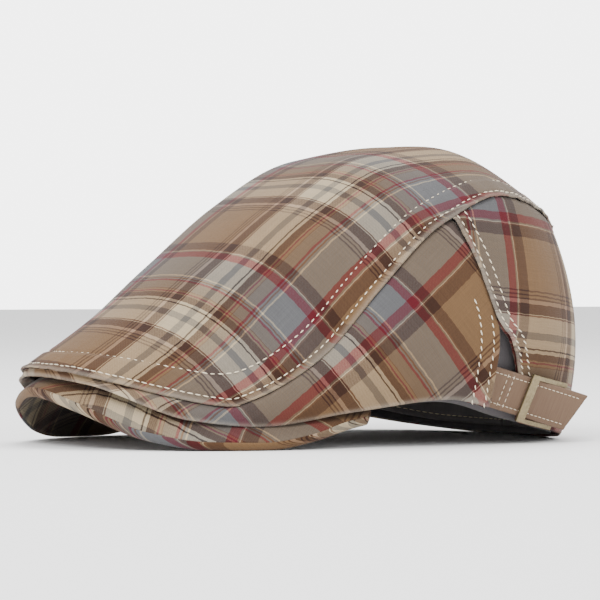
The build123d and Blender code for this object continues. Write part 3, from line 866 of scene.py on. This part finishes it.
# sweatband and its blank label
band = {
    "stations": [0, 0.13, 0.26, 0.39, 0.51, 0.63, 0.75, 0.87, 1.0],
    "x": [0, 38, 64, 80, 85, 80, 67, 38, 0],
    "y": [-87, -79, -58, -24, 14, 50, 76, 96, 104],
    "z": [43, 38, 29, 23, 24, 18, 10, 5, 4],
    "lean": [-0.20, -0.16, -0.05, 0.05, 0.06, 0.03, 0.02, 0.05, 0.08],
    "height": 27.0, "thickness": 1.4, "labelWidth": 34.0, "labelHeight": 14.0, "labelThickness": 0.4,
}


def bandEdge(around):
    s = band["stations"]
    return np.stack([ease(around, s, band["x"]), ease(around, s, band["y"], True),
                     ease(around, s, band["z"], True)], -1)


def bandFrame(turn):
    around = np.abs(turn) * (1 - 1.0 / 572)
    out = outward(bandEdge, around)
    lean = ease(around, band["stations"], band["lean"], True)
    return bandEdge(around), out, lean


def bandPoint(turn, up, depth=0.0):
    edge, out, lean = bandFrame(turn)
    rising = np.array([0, 0, 1]) + out * lean[..., None]
    point = edge + rising * (up * band["height"])[..., None] - out * depth
    point[..., 0] *= np.where(turn > 0, 1, -1)
    return point


def bandOut(points):
    level = np.zeros(points.shape[:-1])
    return unit(np.stack([points[..., 0] / 86**2, (points[..., 1] - 8) / 96**2, level], -1))


def bandSurface(u, v):
    return bandPoint(2 * u - 1, v)


def labelSurface(u, v):
    reach, share = band["labelWidth"] / 572, band["labelHeight"] / band["height"]
    return bandPoint(0.93 - reach + reach * u, 0.5 + share * (v - 0.5), band["thickness"] + shell["gap"])


def bandRelief(points):
    return -0.35 * np.abs(unevenness(points, 9.0, 8.8))


sweatband = clothPiece("sweatband", bandSurface, np.linspace(0, 1, 300), np.linspace(0, 1, 22), 0,
                       band["thickness"], finishes["sweatband"], out=bandOut, relief=bandRelief,
                       fold=0.35)
settle(sweatband, "cap", "sweatband_cloth", "sweatband")
label = clothPiece("sizeLabel", labelSurface, np.linspace(0, 1, 30), np.linspace(0, 1, 14), 0,
                   band["labelThickness"], finishes["label"], out=bandOut, fold=0.1)
settle(label, "cap", "label_cloth", "size_label")
bandTurns = np.linspace(-0.995, 0.995, 700)
bandRows = []
for height in (0.10, 0.90):
    path = bandPoint(bandTurns, height + 0 * bandTurns, band["thickness"] + 0.35)
    bandRows.append((path, -bandOut(path), False))
stitches("bandStitches", bandRows, "cap", {**thread, "radius": 0.24})
print("sweatband ready")

# visor
visor = {
    "stations": [0, 0.15, 0.30, 0.45, 0.60, 0.75, 0.88, 1.0],
    "outerX": [0, 32, 58, 74, 83, 86, 84.5, 80],
    "outerY": [-147, -140, -120, -99, -75, -52, -36, -20],
    "outerZ": [26.5, 20, 8, 3.94, 3.44, 7, 11.5, 14.5],
    "innerX": [0, 22, 44, 59, 69.5, 75.5, 77, 75.5],
    "innerY": [-90, -87, -78, -66, -52, -40, -29, -18],
    "innerZ": [39, 36, 29, 23, 19, 17, 16.5, 16.5],
    "roll": [5, 6, 4.5, 1.2, 0.6, 0.6, 0.6, 0.6],
    "cover": 0.9, "board": 2.0,
}
visorThickness = 2 * visor["cover"] + visor["board"] + 2 * shell["gap"]


def visorEdge(side, which):
    at, s = np.abs(side), visor["stations"]
    sign = np.where(side > 0, 1, -1)
    return np.stack([ease(at, s, visor[which + "X"]) * sign, ease(at, s, visor[which + "Y"], True),
                     ease(at, s, visor[which + "Z"], True)], -1)


def visorUp(side):
    low, high = np.maximum(side - 0.02, -1), np.minimum(side + 0.02, 1)
    along = visorEdge(high, "outer") - visorEdge(low, "outer")
    return unit(np.cross(visorEdge(side, "outer") - visorEdge(side, "inner"), along))


def visorPoint(side, out, depth=0.0):
    side, out = np.broadcast_arrays(np.asarray(side, float), np.asarray(out, float))
    innerEdge, outerEdge = visorEdge(side, "inner"), visorEdge(side, "outer")
    roll = ease(np.abs(side), visor["stations"], visor["roll"], True) * (1 - (1 - out) ** 3) * (1 - out**5)
    return innerEdge + (outerEdge - innerEdge) * out[..., None] + visorUp(side) * (roll - depth)[..., None]


def visorPiece(name, near, far, finish, slot, node, low, high, nu=200, nv=40, fold=0.4, turn=0.0):
    sidesAt, outAt = np.linspace(-1, 1, nu), np.linspace(low, high, nv)
    ups = visorUp(np.meshgrid(sidesAt, outAt, indexing="ij")[0])

    def cloth(U, V, base):
        c, s = cos(radians(turn)), sin(radians(turn))
        x, y = base[..., 0], base[..., 1]
        return np.stack([c * x + s * y, c * y - s * x], -1) / 1000
    piece = clothPiece(name, lambda u, v: visorPoint(u, v, near), sidesAt, outAt, 0, far - near,
                       finishes[finish], cloth=cloth, out=lambda points: ups, fold=fold)
    settle(piece, "cap", slot, node, sheet=finish != "board")


underTop = visorThickness - visor["cover"]
visorPiece("visorUpper", 0, visor["cover"], "plaid", "plaid_shell", "visor_upper_cover", 0, 1, turn=40)
# the under cover takes the half-bright plaid, painted shade under the visor
visorPiece("visorUnder", underTop, visorThickness, "paintedShadePlaid", "plaid_shell", "visor_under_cover", 0, 1)
visorPiece("visorBoard", visor["cover"] + 0.25, underTop - 0.25, "board", "visor_board", "visor_board",
           0, 0.965, nv=24)


def visorRim():
    # the turned seam that rounds off the front edge of the visor
    side = np.linspace(-1, 1, 260)
    turns = np.linspace(-pi / 2, pi / 2, 11)
    edge, up = visorPoint(side, 1.0 + 0 * side), visorUp(side)
    away = unit(edge - visorPoint(side, 0.96 + 0 * side))
    radius = visorThickness / 2
    rings = []
    for turn in turns:
        rings.append(edge - up * (radius - radius * sin(turn)) + away * (0.6 + radius * 0.55 * cos(turn)))
    back = [edge - up * 0.95 - away * 1.2, edge - up * (visorThickness - 0.95) - away * 1.2]
    grid = np.stack([back[1]] + rings + [back[0]], 1)
    nu, nv = grid.shape[:2]
    index = np.arange(nu * nv).reshape(nu, nv)
    nxt = np.roll(index, -1, axis=1)
    faces = np.stack([index[:-1].ravel(), index[1:].ravel(), nxt[1:].ravel(), nxt[:-1].ravel()], 1).tolist()
    faces += [index[0][::-1].tolist(), index[-1].tolist()]
    across, along = arcs(grid)
    uv = np.stack([across * 0.8 + grid[..., 2] * 0.2, along + across * 0.7], -1) / 1000
    piece = meshPiece("visorRim", toFrame(grid.reshape(-1, 3)), faces, uv.reshape(-1, 2), finishes["plaid"],
                      np.zeros(nu * nv))
    settle(piece, "cap", "plaid_shell", "visor_rim_seam", sheet=False)


visorRim()
print("visor ready")

# adjuster
strap = {
    "start": (87.5, 35, 27.5), "end": (83.3, 85.2, 14.0), "lean": 16.0, "width": 18.0, "thickness": 1.6,
    "hidden": 4.0, "tail": 8.5, "slant": 6.0, "seamAt": -33.5, "stitchIn": 2.2,
}
buckle = {"pin": 1.8, "loop": 0.9}


def strapAxes():
    start, end = np.array(strap["start"], float), np.array(strap["end"], float)
    along = unit(end - start)
    level = unit(np.array([along[1], -along[0], 0]))
    up = -np.cross(level, along)
    up = up if up[2] > 0 else -up
    lean = radians(strap["lean"])
    out = unit(level * cos(lean) - up * sin(lean))
    return end - along * strap["tail"], along, np.cross(out, along), out


strapHome, strapAlong, strapAcross, strapOut = strapAxes()
strapUnder = buckle["pin"] / 2 + 0.06 + buckle["loop"] + 0.35
strapSpan = np.linalg.norm(np.array(strap["end"]) - np.array(strap["start"]))
strapStart = strap["tail"] - strapSpan - strap["hidden"]


def fromStrap(x, y, z):
    return (strapHome + np.asarray(x)[..., None] * strapAlong + np.asarray(y)[..., None] * strapAcross
            + np.asarray(z)[..., None] * strapOut)


def toStrap(points):
    away = points - strapHome
    return np.stack([away @ strapAlong, away @ strapAcross, away @ strapOut], -1)


upSide = 1 if strapAcross[2] > 0 else -1


def strapSurface(u, v):
    y = (v - 0.5) * strap["width"]
    end = strap["tail"] + upSide * strap["slant"] * y / strap["width"]
    return fromStrap(strapStart + (end - strapStart) * u, y, strapUnder + strap["thickness"] + 0 * u)


def strapRelief(points):
    local = toStrap(points)
    x, y = local[..., 0], np.abs(local[..., 1])
    lift = -0.18 * np.exp(-(((y - strap["width"] / 2 + strap["stitchIn"]) / 0.7) ** 2))
    lift += 0.55 * np.exp(-(((x - strap["seamAt"]) / 1.0) ** 2)) * (x < 0)
    lift += 0.16 * smooth(-x, -strap["seamAt"], 2 - strap["seamAt"])
    return lift + 0.10 * unevenness(points, 6.0, 2.2)


def strapFacing(points):
    return np.broadcast_to(strapOut, points.shape)


strapPiece = clothPiece("strap", strapSurface, np.linspace(0, 1, 150), np.linspace(0, 1, 44), 0,
                        strap["thickness"], finishes["strap"], relief=strapRelief, out=strapFacing,
                        fold=0.35)
settle(strapPiece, "strap", "strap_plaid", "adjuster_strap", sheet=False)


def strapRow(x0, y0, x1, y1):
    t = np.linspace(0, 1, 80)
    y = y0 + (y1 - y0) * t
    path = fromStrap(x0 + (x1 - x0) * t, y, strapUnder + strap["thickness"] + 0 * t)
    return rowOf(path, strapRelief, raised=0.08, out=strapFacing)


rowY = strap["width"] / 2 - strap["stitchIn"]
seamX = strap["seamAt"]
strapRows = [strapRow(strapStart + 1, rowY, strap["tail"] - 2, rowY),
             strapRow(strapStart + 1, -rowY, strap["tail"] - 6, -rowY),
             strapRow(seamX + 1.8, -rowY, seamX + 1.8, rowY),
             strapRow(seamX - 1.8, -rowY, seamX - 1.8, rowY)]
stitches("strapStitches", strapRows, "strap", {**thread, "step": 2.4, "length": 2.0, "radius": 0.2})

for node in ("buckle_frame", "buckle_loop"):
    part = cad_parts[node]
    part.data.materials.clear()
    part.data.materials.append(finishes["brass" if node == "buckle_frame" else "tape"])
print("adjuster ready")

# floor, light and camera
studio = {"place": (1.3856, -0.79725, 0.075), "aim": (0, 0.00275, 0.066), "lens": 206.4, "shiftY": -0.005}
floorMesh = bpy.data.meshes.new("floor")
corners = [(x, y, -0.0004) for x, y in ((-6, -6), (6, -6), (6, 6), (-6, 6))]
floorMesh.from_pydata(corners, [], [(0, 1, 2, 3)])
floor = bpy.data.objects.new("floor", floorMesh)
bpy.context.scene.collection.objects.link(floor)
paper = newFinish("pale paper", Base_Color=(0.93, 0.93, 0.93, 1), Roughness=0.8)[0]
floorMesh.materials.append(paper)

world = bpy.data.worlds.new("studio")
bpy.context.scene.world = world
world.use_nodes = True
backdrop = world.node_tree.nodes["Background"]
backdrop.inputs[0].default_value = (1, 1, 1, 1)
seen = add(world.node_tree, "ShaderNodeLightPath").outputs["Is Camera Ray"]
brightness = between(world.node_tree, seen, 1.5, 5.0)  # whiter where it is seen
world.node_tree.links.new(brightness, backdrop.inputs[1])


def lamp(name, place, aim, size, power):
    light = bpy.data.lights.new(name, "AREA")
    light.shape, light.size, light.energy = "DISK", size, power
    made = bpy.data.objects.new(name, light)
    made.location = place
    made.rotation_euler = (Vector(aim) - Vector(place)).to_track_quat("-Z", "Y").to_euler()
    bpy.context.scene.collection.objects.link(made)


lamp("key", (0.9, -1.3, 1.6), (0, 0, 0.05), 1.1, 44)
lamp("fill", (1.6, 0.9, 0.9), (0, 0, 0.05), 1.2, 12)
lamp("top", (-0.4, 0.3, 1.9), (0, 0, 0.05), 1.4, 34)

camera = bpy.data.objects.new("camera", bpy.data.cameras.new("camera"))
camera.location = studio["place"]
camera.rotation_euler = (Vector(studio["aim"]) - Vector(studio["place"])).to_track_quat("-Z", "Y").to_euler()
camera.data.sensor_width, camera.data.lens, camera.data.shift_y = 36, studio["lens"], studio["shiftY"]
bpy.context.scene.collection.objects.link(camera)
bpy.context.scene.camera = camera
